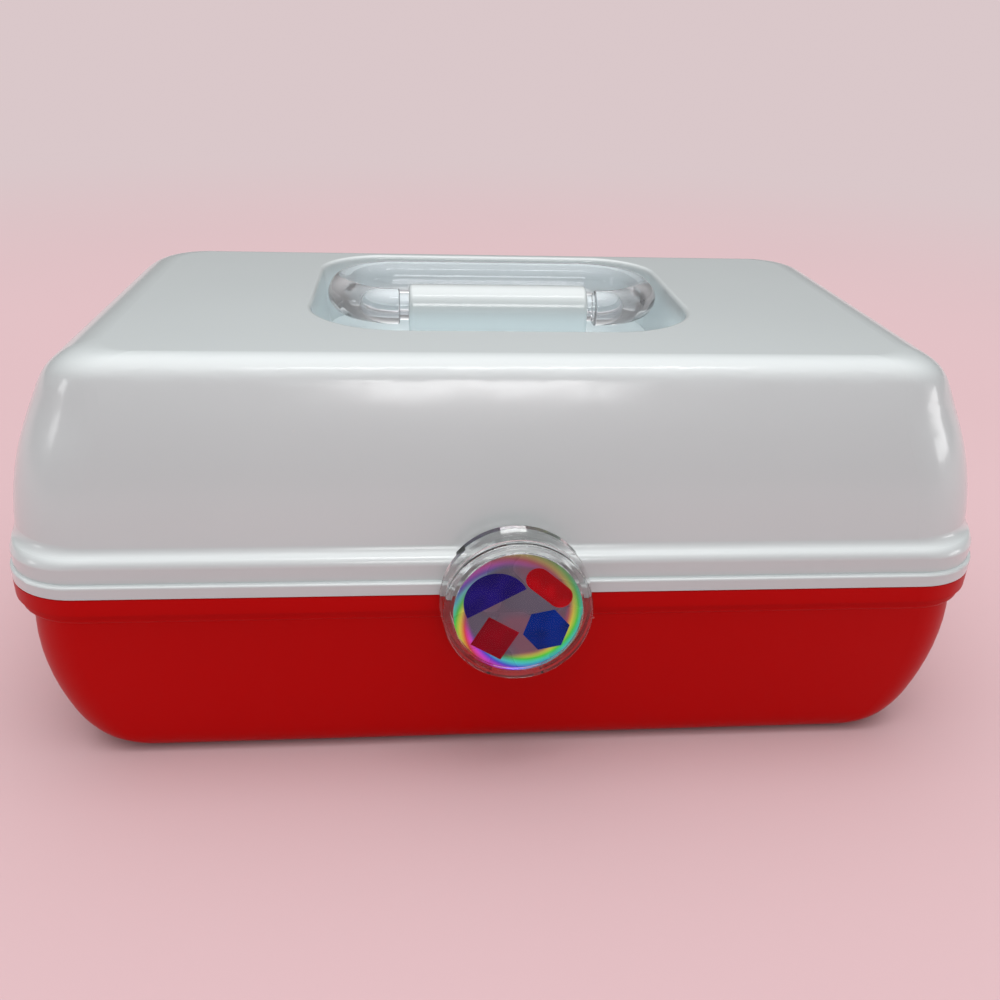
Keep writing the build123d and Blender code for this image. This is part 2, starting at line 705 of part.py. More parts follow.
with BuildPart() as tray:
    with BuildSketch(Plane.XY.offset(tray_floor_height)) as tray_plan:
        with Locations((0, tray_middle)):
            RectangleRounded(2 * tray_half, tray_depth, tray_corner)
    extrude(amount=tray_top_height - tray_floor_height)
    fillet(tray.faces().sort_by(Axis.Z)[0].edges(), tray_foot_round)
    for low_x, low_y, width, depth in tray_pockets:
        with BuildSketch(Plane.XY.offset(tray_floor_height + tray_wall)) as pocket:
            with Locations((low_x + width / 2, low_y + depth / 2)):
                RectangleRounded(width, depth, tray_pocket_corner)
        extrude(amount=pocket_height, mode=Mode.SUBTRACT)
    for side in (-1, 1):
        # ear that reaches back and up to the stud in the lid
        with BuildSketch(Plane.YZ.offset(side * (tray_half - ear_thickness))) as ear:
            with Locations((lid_stud_y, lid_stud_height)):
                Circle(arm_radius)
            with Locations((tray_rear - ear_root / 2 - tray_corner / 2, tray_top_height - ear_root / 2)):
                Rectangle(ear_root, ear_root)
            make_hull()
            with Locations((lid_stud_y, lid_stud_height)):
                Circle(stud_radius + pivot_clearance, mode=Mode.SUBTRACT)
        extrude(amount=side * ear_thickness)
        # boss that carries the arm's stud
        with BuildSketch(Plane.YZ.offset(side * (tray_half - tray_wall / 2))) as arm_boss:
            with Locations((tray_stud_y, tray_stud_height)):
                Circle(boss_radius)
        extrude(amount=side * (arm_tray_gap - boss_gap + tray_wall / 2))
        with BuildSketch(Plane.YZ.offset(side * (arm_inner - boss_gap))) as arm_boss_hole:
            with Locations((tray_stud_y, tray_stud_height)):
                Circle(stud_radius + press_gap)
        extrude(amount=-side * arm_tray_gap, mode=Mode.SUBTRACT)

tray.part.label = "tray"
export_step(tray.part, "parts/tray.step")


def link_arm(name, side):
    """Flat arm from the base stud to the tray stud, outside the tray's end."""
    with BuildPart() as arm:
        with BuildSketch(Plane.YZ.offset(side * arm_inner)) as arm_plan:
            with Locations(((base_stud_y + tray_stud_y) / 2, (base_stud_height + tray_stud_height) / 2)):
                slope = degrees(atan2(link_rise, -link_back))
                SlotCenterToCenter(link_length, 2 * arm_radius, rotation=slope)
            with Locations((base_stud_y, base_stud_height), (tray_stud_y, tray_stud_height)):
                Circle(stud_radius + pivot_clearance, mode=Mode.SUBTRACT)
        extrude(amount=side * arm_thickness)
    arm.part.label = name
    export_step(arm.part, f"parts/{name}.step")


def headed_stud(name, stud_y, stud_height, head_x, tip_x):
    """Stud along X, its shank running from the inner face of its head to the tip."""
    side = 1 if tip_x > head_x else -1
    with BuildPart() as stud:
        with BuildSketch(Plane.YZ.offset(head_x - side * stud_head_thickness)) as head:
            with Locations((stud_y, stud_height)):
                Circle(stud_head_radius)
        extrude(amount=side * stud_head_thickness)
        fillet(stud.edges().filter_by(GeomType.CIRCLE), stud_head_thickness / 4)
        with BuildSketch(Plane.YZ.offset(head_x)) as shank:
            with Locations((stud_y, stud_height)):
                Circle(stud_radius)
        extrude(amount=tip_x - head_x)
    stud.part.label = name
    export_step(stud.part, f"parts/{name}.step")


# Arms and the studs of the linkage, the same on both ends
for word, side in (("left", -1), ("right", 1)):
    link_arm(f"arm_{word}", side)
    headed_stud(
        f"arm_base_stud_{word}", base_stud_y, base_stud_height,
        side * (arm_inner - boss_gap), side * (boss_end - pivot_clearance),
    )
    headed_stud(
        f"arm_tray_stud_{word}", tray_stud_y, tray_stud_height,
        side * (arm_outer + boss_gap / 2), side * (arm_inner - arm_tray_gap),
    )
    headed_stud(
        f"lid_tray_stud_{word}", lid_stud_y, lid_stud_height,
        side * (tray_half - ear_thickness - boss_gap / 2), side * (lid_boss_face + lid_stud_grip),
    )


# Mirror frame, staked to the lid's posts, and the glass bonded into its underside
with BuildPart() as mirror_frame:
    with BuildSketch(Plane.XY.offset(mirror_underside)) as frame_plan:
        RectangleRounded(mirror_width + 2 * mirror_border, mirror_depth + 2 * mirror_border,
                         mirror_corner + mirror_border)
        with GridLocations(2 * peg_x, 2 * peg_y, 2, 2):
            Circle(mirror_peg_radius + pivot_clearance, mode=Mode.SUBTRACT)
    extrude(amount=mirror_frame_thickness)
    with BuildSketch(Plane.XY.offset(mirror_underside)) as glass_pocket:
        RectangleRounded(mirror_width, mirror_depth, mirror_corner)
    extrude(amount=mirror_thickness + mirror_clearance, mode=Mode.SUBTRACT)

mirror_frame.part.label = "mirror_frame"
export_step(mirror_frame.part, "parts/mirror_frame.step")

with BuildPart() as mirror_glass:
    with BuildSketch(Plane.XY.offset(mirror_underside + mirror_clearance)) as glass_plan:
        RectangleRounded(mirror_width - 2 * mirror_clearance, mirror_depth - 2 * mirror_clearance,
                         mirror_corner - mirror_clearance)
    extrude(amount=mirror_thickness)

mirror_glass.part.label = "mirror_glass"
export_step(mirror_glass.part, "parts/mirror_glass.step")
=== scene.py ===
import math

import bmesh
import bpy
from mathutils import Matrix, Vector


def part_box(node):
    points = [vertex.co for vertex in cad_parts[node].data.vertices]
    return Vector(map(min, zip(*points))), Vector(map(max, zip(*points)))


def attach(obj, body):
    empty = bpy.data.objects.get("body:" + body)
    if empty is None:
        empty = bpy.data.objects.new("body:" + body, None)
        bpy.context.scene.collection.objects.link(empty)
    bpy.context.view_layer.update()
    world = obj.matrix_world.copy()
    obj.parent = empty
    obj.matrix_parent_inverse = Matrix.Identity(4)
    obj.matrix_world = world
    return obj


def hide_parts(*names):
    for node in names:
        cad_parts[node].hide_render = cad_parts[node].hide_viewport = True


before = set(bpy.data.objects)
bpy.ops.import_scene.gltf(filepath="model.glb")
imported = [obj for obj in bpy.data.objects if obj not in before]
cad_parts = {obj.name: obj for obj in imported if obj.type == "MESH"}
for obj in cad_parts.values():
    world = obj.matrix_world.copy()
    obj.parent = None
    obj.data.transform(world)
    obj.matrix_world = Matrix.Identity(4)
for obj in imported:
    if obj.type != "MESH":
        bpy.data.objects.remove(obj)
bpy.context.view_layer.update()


# Base tub. A deep tray moulded in one shot of saturated red plastic: glossy outside from a polished
# mould, finely grained inside, with a stepped rim band, a locating lip and a shallow foot ring.
def node(tree, kind, plugs=None, **settings):
    """A new node, its properties set and each socket given a value or joined to an output."""
    made = tree.nodes.new(kind)
    for name, value in settings.items():
        setattr(made, name, value)
    for socket, value in (plugs or {}).items():
        if isinstance(value, bpy.types.NodeSocket):
            tree.links.new(value, made.inputs[socket])
        else:
            made.inputs[socket].default_value = value
    return made


def effect(name, inputs, outputs):
    """An empty shader group with number inputs and outputs, to be filled in and shared."""
    group = bpy.data.node_groups.new(name, "ShaderNodeTree")
    for label, value in inputs.items():
        socket = group.interface.new_socket(label, in_out="INPUT", socket_type="NodeSocketFloat")
        socket.default_value = value
    for label in outputs:
        group.interface.new_socket(label, in_out="OUTPUT", socket_type="NodeSocketFloat")
    return group, group.nodes.new("NodeGroupInput"), group.nodes.new("NodeGroupOutput")


def math_node(tree, operation, *values):
    """The output of a Math node."""
    return node(tree, "ShaderNodeMath", dict(enumerate(values)), operation=operation).outputs[0]


def remap(tree, value, low, high, to_low=0.0, to_high=1.0):
    """A value taken smoothly from one range to another."""
    made = node(tree, "ShaderNodeMapRange", {0: value, 1: low, 2: high, 3: to_low, 4: to_high},
                interpolation_type="SMOOTHSTEP")
    return made.outputs[0]


def tint(tree, factor, first, second):
    """The output of a colour mix; a plain colour is three numbers."""
    plugs = {0: factor}
    for socket, colour in ((6, first), (7, second)):
        plugs[socket] = colour if isinstance(colour, bpy.types.NodeSocket) else (*colour, 1.0)
    return node(tree, "ShaderNodeMix", plugs, data_type="RGBA").outputs[2]


def finish(name, **plain):
    """A new material; each plain value goes straight onto the shader's own socket."""
    material = bpy.data.materials.new(name)
    material.use_nodes = True
    shader = material.node_tree.nodes["Principled BSDF"]
    for socket, value in plain.items():
        shader.inputs[socket.replace("_", " ")].default_value = value
    return material, material.node_tree, shader


def dress(names, material):
    """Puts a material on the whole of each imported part."""
    for name in names:
        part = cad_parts[name]
        if not part.data.materials:
            part.data.materials.append(material)
        for slot in part.material_slots:
            slot.material = material


# shared effect: the soft ripple and cloudiness that moulded plastic keeps from its tool
ripple, ends, out = effect("moulded ripple", {"Scale": 90.0, "Cloud Scale": 9.0}, ("Ripple", "Cloud"))
place = node(ripple, "ShaderNodeTexCoord").outputs["Object"]
fine = node(ripple, "ShaderNodeTexNoise",
            {"Vector": place, "Scale": ends.outputs["Scale"], "Detail": 1.0})
wide = node(ripple, "ShaderNodeTexNoise",
            {"Vector": place, "Scale": ends.outputs["Cloud Scale"], "Detail": 2.0})
ripple.links.new(fine.outputs[0], out.inputs["Ripple"])
ripple.links.new(wide.outputs[0], out.inputs["Cloud"])

# shared effect: hairline handling marks in two directions, in patches
scuffs, ends, out = effect("handling marks", {"Scale": 60.0, "Patch Scale": 14.0}, ("Marks",))
place = node(scuffs, "ShaderNodeTexCoord").outputs["Object"]
hairs = []
for lean, stretch in ((0.5, 14.0), (-0.9, 18.0)):
    drawn_out = node(scuffs, "ShaderNodeMapping",
                     {"Vector": place, "Rotation": (lean, lean, 0.6 * lean),
                      "Scale": (1.0, stretch, stretch)})
    hair = node(scuffs, "ShaderNodeTexNoise",
                {"Vector": drawn_out.outputs[0], "Scale": ends.outputs["Scale"], "Detail": 2.0,
                 "Roughness": 0.7})
    hairs.append(remap(scuffs, hair.outputs[0], low=0.64, high=0.70))
patch = node(scuffs, "ShaderNodeTexNoise",
             {"Vector": place, "Scale": ends.outputs["Patch Scale"], "Detail": 1.0})
where = remap(scuffs, patch.outputs[0], low=0.5, high=0.68)
marks = math_node(scuffs, "MULTIPLY", math_node(scuffs, "MAXIMUM", *hairs), where)
scuffs.links.new(marks, out.inputs["Marks"])

# shared effect: sparse round specks of dust, in a given share of the cells
dust, ends, out = effect("dust specks", {"Scale": 260.0, "Share": 0.012}, ("Specks",))
place = node(dust, "ShaderNodeTexCoord").outputs["Object"]
cells = node(dust, "ShaderNodeTexVoronoi",
             {"Vector": place, "Scale": ends.outputs["Scale"], "Randomness": 1.0})
dot = remap(dust, cells.outputs["Distance"], low=0.10, high=0.17, to_low=1.0, to_high=0.0)
pick = node(dust, "ShaderNodeSeparateColor", {0: cells.outputs["Color"]})
kept = math_node(dust, "LESS_THAN", pick.outputs[0], ends.outputs["Share"])
dust.links.new(math_node(dust, "MULTIPLY", dot, kept), out.inputs["Specks"])

# shared effect: which faces look into the case, found by the side of its middle that they face
inward, ends, out = effect("inner faces", {"Middle Height": 0.067}, ("Inside",))
where = node(inward, "ShaderNodeTexCoord")
middle = node(inward, "ShaderNodeCombineXYZ", {"Z": ends.outputs["Middle Height"]})
reach = node(inward, "ShaderNodeVectorMath", {0: where.outputs["Object"], 1: middle.outputs[0]},
             operation="SUBTRACT")
faces = node(inward, "ShaderNodeVectorMath", {0: reach.outputs[0], 1: where.outputs["Normal"]},
             operation="DOT_PRODUCT")
inward.links.new(math_node(inward, "LESS_THAN", faces.outputs["Value"], 0.0), out.inputs["Inside"])


def shared(tree, group, **values):
    """Places a shared effect in a material, with its own values."""
    made = node(tree, "ShaderNodeGroup", node_tree=group)
    for name, value in values.items():
        made.inputs[name.replace("_", " ")].default_value = value
    return made


def moulded(name, colour, cloud_colour, roughness, marked_roughness, inner_roughness, middle,
            ripple_depth, **plain):
    """Moulded plastic: clouded colour, soft ripple, fine grain inside, handling marks and dust.

    The lengths are in metres; middle is the height that the inner faces are told apart from.
    """
    dust_colour, dust_cover = (0.62, 0.60, 0.58), 0.2
    grain_scale, grain_height = 1500.0, 0.00004
    scratch_depth, speck_height = 0.0000015, 0.00001

    material, tree, shader = finish(name, **plain)
    skin = shared(tree, ripple, Scale=70.0, Cloud_Scale=7.0)
    wear = shared(tree, scuffs).outputs["Marks"]
    specks = shared(tree, dust).outputs["Specks"]
    inside = shared(tree, inward, Middle_Height=middle).outputs["Inside"]

    clouded = tint(tree, remap(tree, skin.outputs["Cloud"], low=0.35, high=0.65), colour, cloud_colour)
    dusty = tint(tree, math_node(tree, "MULTIPLY", specks, dust_cover), clouded, dust_colour)
    tree.links.new(dusty, shader.inputs["Base Color"])

    worn = remap(tree, wear, low=0.0, high=1.0, to_low=roughness, to_high=marked_roughness)
    rough = math_node(tree, "MAXIMUM", worn, math_node(tree, "MULTIPLY", inside, inner_roughness))
    tree.links.new(rough, shader.inputs["Roughness"])

    place = node(tree, "ShaderNodeTexCoord").outputs["Object"]
    grain = node(tree, "ShaderNodeTexNoise", {"Vector": place, "Scale": grain_scale, "Detail": 1.0})
    grained = math_node(tree, "MULTIPLY", math_node(tree, "MULTIPLY", grain.outputs[0], inside),
                        grain_height)
    height = math_node(tree, "MULTIPLY_ADD", skin.outputs["Ripple"], ripple_depth, grained)
    height = math_node(tree, "MULTIPLY_ADD", wear, -scratch_depth, height)
    height = math_node(tree, "MULTIPLY_ADD", specks, speck_height, height)
    bump = node(tree, "ShaderNodeBump", {"Strength": 1.0, "Distance": 1.0, "Height": height})
    tree.links.new(bump.outputs[0], shader.inputs["Normal"])
    return material


red_plastic = moulded(
    "red gloss plastic", colour=(0.46, 0.0004, 0.0004), cloud_colour=(0.44, 0.0004, 0.0004),
    roughness=0.34, marked_roughness=0.38, inner_roughness=0.5, middle=0.065, ripple_depth=0.00001,
    IOR=1.49, Specular_IOR_Level=0.08,
)
dress(["base_tub"], red_plastic)


# Hinge pins and latch pin. Short rods cut from bright drawn steel wire and pressed through the
# knuckles and lugs; drawing leaves fine lines along them.
steel, tree, shader = finish("drawn steel", Metallic=1.0, IOR=2.5)
place = node(tree, "ShaderNodeTexCoord").outputs["Object"]
along = node(tree, "ShaderNodeMapping", {"Vector": place, "Scale": (20.0, 900.0, 900.0)})
drawn = node(tree, "ShaderNodeTexNoise",
             {"Vector": along.outputs[0], "Scale": 6.0, "Detail": 3.0}).outputs[0]
tree.links.new(tint(tree, drawn, (0.42, 0.42, 0.43), (0.62, 0.62, 0.63)), shader.inputs["Base Color"])
tree.links.new(remap(tree, drawn, low=0.3, high=0.7, to_low=0.2, to_high=0.38),
               shader.inputs["Roughness"])
bump = node(tree, "ShaderNodeBump", {"Strength": 0.4, "Distance": 0.00002, "Height": drawn})
tree.links.new(bump.outputs[0], shader.inputs["Normal"])
dress(["hinge_pin_left", "hinge_pin_right", "latch_pin"], steel)


# Arms and studs. Flat links and headed studs moulded in white low-friction plastic, pressed into
# the bosses of the base, tray and lid; their faces are matte and go slightly yellow with age.
white, aged_white, scratched_white = (0.74, 0.74, 0.72), (0.66, 0.66, 0.62), (0.5, 0.5, 0.48)
arm_plastic, tree, shader = finish("white link plastic", IOR=1.48, Specular_IOR_Level=0.4)
skin = shared(tree, ripple, Scale=400.0, Cloud_Scale=60.0)
wear = shared(tree, scuffs, Scale=160.0, Patch_Scale=60.0)
aged = tint(tree, skin.outputs["Cloud"], white, aged_white)
scratched = math_node(tree, "MULTIPLY", wear.outputs["Marks"], 0.3)
tree.links.new(tint(tree, scratched, aged, scratched_white), shader.inputs["Base Color"])
tree.links.new(remap(tree, skin.outputs["Ripple"], low=0.3, high=0.7, to_low=0.42, to_high=0.56),
               shader.inputs["Roughness"])
bump = node(tree, "ShaderNodeBump",
            {"Strength": 0.5, "Distance": 0.00005, "Height": skin.outputs["Ripple"]})
tree.links.new(bump.outputs[0], shader.inputs["Normal"])
dress([f"{piece}_{side}" for piece in ("arm", "arm_base_stud", "arm_tray_stud", "lid_tray_stud")
       for side in ("left", "right")], arm_plastic)


# Tray. One pale moulding with lipstick cells, a brush trough and three bays, hung between the lid
# studs and the arms; inside its bays the floor is finely grained and a little dusty with powder.
tray_plastic = moulded(
    "pale tray plastic", colour=(0.60, 0.645, 0.64), cloud_colour=(0.57, 0.615, 0.61),
    roughness=0.34, marked_roughness=0.40, inner_roughness=0.5, middle=0.05, ripple_depth=0.00001,
    IOR=1.49,
)
dress(["tray"], tray_plastic)


# Lid shell. A bowed cover moulded in pale grey-mint plastic with a hard gloss: two rim bands with a
# rolled bead, a flat top, and a sunk hand recess whose floor carries a hollow barrel.
lid_plastic = moulded(
    "pale pearl plastic", colour=(0.52, 0.555, 0.56), cloud_colour=(0.505, 0.54, 0.545),
    roughness=0.30, marked_roughness=0.34, inner_roughness=0.45, middle=0.067, ripple_depth=0.000008,
    IOR=1.49, Coat_Weight=1.0, Coat_Roughness=0.13, Coat_IOR=1.5,
)
# painted bounce light: the hand recess is coloured paler and bluer than the rest of the shell, by its
# place in the lid, standing in for the light that bounces between its walls and through the thin
# plastic
recess_bounce_light_colour = (0.655, 0.735, 0.755)
recess_half_width = 0.070
recess_front, recess_back = -0.046, 0.068
recess_blend = 0.002
recess_top, recess_full_bounce_light = 0.1385, 0.130
tree = lid_plastic.node_tree
shader = tree.nodes["Principled BSDF"]
place = node(tree, "ShaderNodeTexCoord").outputs["Object"]
spot = node(tree, "ShaderNodeSeparateXYZ", {0: place})
in_width = remap(tree, math_node(tree, "ABSOLUTE", spot.outputs["X"]),
                 low=recess_half_width - recess_blend, high=recess_half_width + recess_blend,
                 to_low=1.0, to_high=0.0)
behind_front = remap(tree, spot.outputs["Y"],
                     low=recess_front - recess_blend, high=recess_front + recess_blend)
before_back = remap(tree, spot.outputs["Y"],
                    low=recess_back - recess_blend, high=recess_back + recess_blend,
                    to_low=1.0, to_high=0.0)
in_depth = math_node(tree, "MULTIPLY", behind_front, before_back)
sunk = remap(tree, spot.outputs["Z"], low=recess_top, high=recess_full_bounce_light)
recess_bounce_light_mask = math_node(tree, "MULTIPLY", sunk, math_node(tree, "MULTIPLY", in_width, in_depth))
shell_colour = shader.inputs["Base Color"].links[0].from_socket
tree.links.new(tint(tree, recess_bounce_light_mask, shell_colour, recess_bounce_light_colour), shader.inputs["Base Color"])
dress(["lid_shell"], lid_plastic)


# Mirror and its frame. A cut pane of silvered glass bonded into a pale moulded frame, which is
# heat-staked onto four posts inside the lid.
frame_plastic = moulded(
    "pale frame plastic", colour=(0.60, 0.645, 0.64), cloud_colour=(0.58, 0.625, 0.62),
    roughness=0.36, marked_roughness=0.42, inner_roughness=0.36, middle=0.10, ripple_depth=0.00001,
    IOR=1.49,
)
dress(["mirror_frame"], frame_plastic)

silver, dusted_silver = (0.88, 0.90, 0.90), (0.6, 0.6, 0.6)
silvered, tree, shader = finish("silvered glass", Metallic=1.0, IOR=1.52, Coat_Weight=0.5,
                                Coat_Roughness=0.02)
skin = shared(tree, ripple, Scale=30.0, Cloud_Scale=12.0)
specks = shared(tree, dust, Scale=300.0, Share=0.04)
tree.links.new(tint(tree, specks.outputs["Specks"], silver, dusted_silver), shader.inputs["Base Color"])
smeared = remap(tree, skin.outputs["Cloud"], low=0.5, high=0.75, to_low=0.015, to_high=0.07)
tree.links.new(smeared, shader.inputs["Roughness"])
dress(["mirror_glass"], silvered)


# Carrying handle. A thick bail cast in clear plastic, polished, whose ends turn in the barrel's
# sockets; the curve gathers the grey of the recess and the light along the bar, and part of that grey
# is painted into the plastic's grey-violet colour.
def cast_clear(name, piece, colour, cloud_colour, roughness, marked_roughness, ripple_scale,
               cloud_scale, patch_scale, ripple_strength, ripple_depth, **plain):
    """Clear cast plastic on one part: a faint cloud in its colour, soft ripple, fine marks."""
    cast, tree, shader = finish(name, **plain)
    skin = shared(tree, ripple, Scale=ripple_scale, Cloud_Scale=cloud_scale)
    wear = shared(tree, scuffs, Scale=ripple_scale, Patch_Scale=patch_scale)
    tree.links.new(tint(tree, skin.outputs["Cloud"], colour, cloud_colour), shader.inputs["Base Color"])
    worn = remap(tree, wear.outputs["Marks"], low=0.0, high=1.0, to_low=roughness,
                 to_high=marked_roughness)
    tree.links.new(worn, shader.inputs["Roughness"])
    bump = node(tree, "ShaderNodeBump", {"Strength": ripple_strength, "Distance": ripple_depth,
                                         "Height": skin.outputs["Ripple"]})
    tree.links.new(bump.outputs[0], shader.inputs["Normal"])
    dress([piece], cast)


# slightly hazy: a small share of the light scatters at the surface and doesn't pass through; its
# grey-violet colour is partly painted, standing in for the grey of the recess seen through it
cast_clear(
    "clear handle plastic", "handle_bail", colour=(0.88, 0.875, 0.89), cloud_colour=(0.83, 0.82, 0.84),
    roughness=0.02, marked_roughness=0.08, ripple_scale=120.0, cloud_scale=20.0, patch_scale=30.0,
    ripple_strength=0.5, ripple_depth=0.00003, IOR=1.49, Transmission_Weight=0.93,
)


# Latch body and lens. A round stepped cup moulded in clear plastic, hinged low on the base and
# hooked over the lid's catch; a clear disc closes its face over the printed foil.
# Both are set to bend light less than solid plastic does, so that the print reads clearly.
for name, piece, bend in (("clear latch plastic", "latch_body", 1.42),
                          ("clear lens plastic", "latch_lens", 1.13)):
    cast_clear(
        name, piece, colour=(0.98, 0.985, 0.985), cloud_colour=(0.95, 0.96, 0.96),
        roughness=0.01, marked_roughness=0.06, ripple_scale=160.0, cloud_scale=40.0, patch_scale=50.0,
        ripple_strength=0.3, ripple_depth=0.00002, IOR=bend, Transmission_Weight=1.0,
    )


# Latch foil. A slightly domed disc of rainbow foil behind the lens, dusky lavender in the middle and
# running through the spectrum towards its edge; the rainbow is painted iridescence, the foil's sheen of
# split light laid fixed into its colour.
disc_low, disc_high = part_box("latch_insert")
disc_radius = (disc_high.x - disc_low.x) / 2
disc_half_thickness = 0.0003
latch_lean = math.radians(5.0)
outward = Vector((0.0, -math.cos(latch_lean), math.sin(latch_lean)))
upward = Vector((0.0, math.sin(latch_lean), math.cos(latch_lean)))
disc_back = (disc_low + disc_high) / 2 - outward * disc_half_thickness
# the disc's own axes: across, up its leaning face, and out of it
disc_place = Matrix((
    (1.0, upward.x, outward.x, disc_back.x),
    (0.0, upward.y, outward.y, disc_back.y),
    (0.0, upward.z, outward.z, disc_back.z),
    (0.0, 0.0, 0.0, 1.0),
))
foil_thickness = 0.00035
foil_dome = 0.00010
foil_rings = 12
foil_steps = 96

foil_mesh = bmesh.new()
rings = []
for ring in range(1, foil_rings + 1):
    share = ring / foil_rings
    front = foil_thickness + foil_dome * (1 - share**2)
    rings.append([
        foil_mesh.verts.new((
            disc_radius * share * math.cos(2 * math.pi * step / foil_steps),
            disc_radius * share * math.sin(2 * math.pi * step / foil_steps),
            front,
        ))
        for step in range(foil_steps)
    ])
rings.append([foil_mesh.verts.new((v.co.x, v.co.y, 0.0)) for v in rings[-1]])
hub = foil_mesh.verts.new((0.0, 0.0, foil_thickness + foil_dome))
back_hub = foil_mesh.verts.new((0.0, 0.0, 0.0))
for step in range(foil_steps):
    after = (step + 1) % foil_steps
    foil_mesh.faces.new((hub, rings[0][step], rings[0][after]))
    foil_mesh.faces.new((back_hub, rings[-1][after], rings[-1][step]))
    for inner, outer in zip(rings, rings[1:]):
        foil_mesh.faces.new((inner[step], outer[step], outer[after], inner[after]))


def settle(name, mesh, material):
    """Closes a mesh into an object with one material, set in the latch's face and riding on it."""
    bmesh.ops.recalc_face_normals(mesh, faces=mesh.faces)
    data = bpy.data.meshes.new(name)
    mesh.to_mesh(data)
    mesh.free()
    data.materials.append(material)
    settled = bpy.data.objects.new(name, data)
    bpy.context.scene.collection.objects.link(settled)
    settled.matrix_world = disc_place
    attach(settled, "latch")
    return settled


# painted iridescence: the colours run twice round the spectrum in one turn of the disc, unevenly, and
# shift towards its edge; they show from a wavy ring outwards, painted strongest on the lower side
hue_start, hue_round, hue_swing = 0.03, -1.0 / math.pi, 0.27
hue_outwards, hue_ring = 2.2, 0.8
whole_spectra = 4.0
ring_wave, ring_inside, ring_outside = 0.22, 0.84, 0.99
upper_strength, lower_strength = 0.32, 1.0
rainbow_saturation = rainbow_brightness = 0.9
lavender, dusky_pink = (0.15, 0.14, 0.19), (0.25, 0.125, 0.17)
foil, tree, shader = finish("rainbow foil", Metallic=0.35, IOR=1.5, Specular_IOR_Level=0.2)
place = node(tree, "ShaderNodeTexCoord").outputs["Object"]
flat = node(tree, "ShaderNodeSeparateXYZ", {0: place})
across, rise = flat.outputs["X"], flat.outputs["Y"]
radius = math_node(tree, "SQRT", math_node(
    tree, "ADD", math_node(tree, "MULTIPLY", across, across), math_node(tree, "MULTIPLY", rise, rise)))
veil = node(tree, "ShaderNodeTexNoise", {"Vector": place, "Scale": 55.0, "Detail": 1.0}).outputs[0]
outwards = math_node(tree, "DIVIDE", radius, disc_radius)
turn = math_node(tree, "ARCTAN2", rise, across)
round_hue = math_node(tree, "MULTIPLY_ADD", math_node(tree, "SINE", turn), hue_swing,
                      math_node(tree, "MULTIPLY_ADD", turn, hue_round, hue_start))
out_hue = math_node(tree, "MULTIPLY_ADD", outwards, hue_outwards, -hue_outwards * hue_ring)
hue = math_node(tree, "FRACT", math_node(
    tree, "ADD", math_node(tree, "ADD", round_hue, out_hue), whole_spectra))
wavy = math_node(tree, "MULTIPLY_ADD", veil, ring_wave, outwards)
spread = remap(tree, wavy, low=ring_inside, high=ring_outside)
low_side = remap(tree, math_node(tree, "DIVIDE", rise, disc_radius), low=0.9, high=-0.5,
                 to_low=upper_strength, to_high=lower_strength)
vivid = math_node(tree, "MULTIPLY", spread, low_side)
rainbow = node(tree, "ShaderNodeCombineColor", {0: hue, 1: rainbow_saturation, 2: rainbow_brightness},
               mode="HSV")
centre = tint(tree, remap(tree, veil, low=0.42, high=0.62), lavender, dusky_pink)
tree.links.new(tint(tree, vivid, centre, rainbow.outputs[0]), shader.inputs["Base Color"])
tree.links.new(remap(tree, veil, low=0.3, high=0.7, to_low=0.22, to_high=0.34),
               shader.inputs["Roughness"])
latch_foil = settle("latch_foil", foil_mesh, foil)
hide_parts("latch_insert")


# Latch prints. Four flat shapes screened onto the foil in thick ink: a half disc, a square standing
# near its corner, a round-ended bar and a hexagon, each bedded in the foil's dome.
def half_disc(size, steps=24):
    """The outline of a half disc of a radius, flat side down."""
    return [(size * math.cos(math.pi * step / steps), size * math.sin(math.pi * step / steps))
            for step in range(steps + 1)]


def polygon(size, corners):
    """The outline of a regular polygon, by the distance of its corners from its middle."""
    return [(size * math.cos(2 * math.pi * corner / corners),
             size * math.sin(2 * math.pi * corner / corners)) for corner in range(corners)]


def bar(length, width, steps=10):
    """The outline of a bar with round ends, by the length of its straight part."""
    points = []
    for side in (1, -1):
        for step in range(steps + 1):
            angle = math.pi * step / steps - math.pi / 2
            points.append((side * (length / 2 + width / 2 * math.cos(angle)),
                           side * width / 2 * math.sin(angle)))
    return points


ink_thickness = 0.00005
print_front = foil_thickness + foil_dome + ink_thickness
print_back = print_front - 3 * ink_thickness
brighter_patch = 1.5
